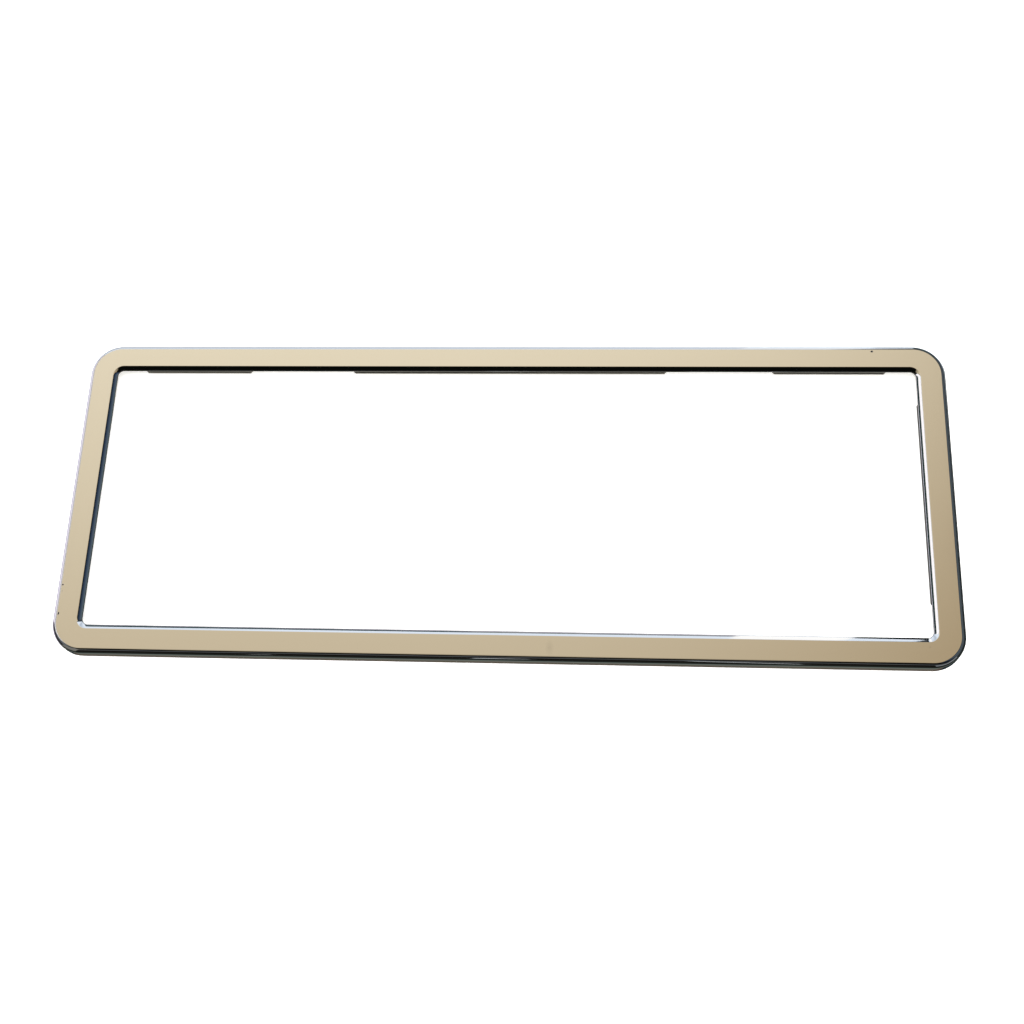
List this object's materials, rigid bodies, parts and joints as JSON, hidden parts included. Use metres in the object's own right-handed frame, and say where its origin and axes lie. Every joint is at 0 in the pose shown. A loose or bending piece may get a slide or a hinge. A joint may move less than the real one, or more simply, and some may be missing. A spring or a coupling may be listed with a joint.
{
  "type": "number plate holder",
  "caption": "Slim plated plastic frame that laps the edges of a car's number plate, hollow behind, with ledges that hold the plate against its face.",
  "frame": {"origin": "centre of the frame's outline, on the plane of the back rim that it lies on", "axes": "+Z out of the face, +X along the long rails to the right of the mounted plate, +Y to the plate's top"},
  "size_m": [0.3838, 0.1454, 0.0064],
  "materials": {
    "plated_plastic": "bright decorative chrome plating on moulded ABS"
  },
  "bodies": {
    "root": {"plate_frame": "plated_plastic"}
  },
  "joints": []
}
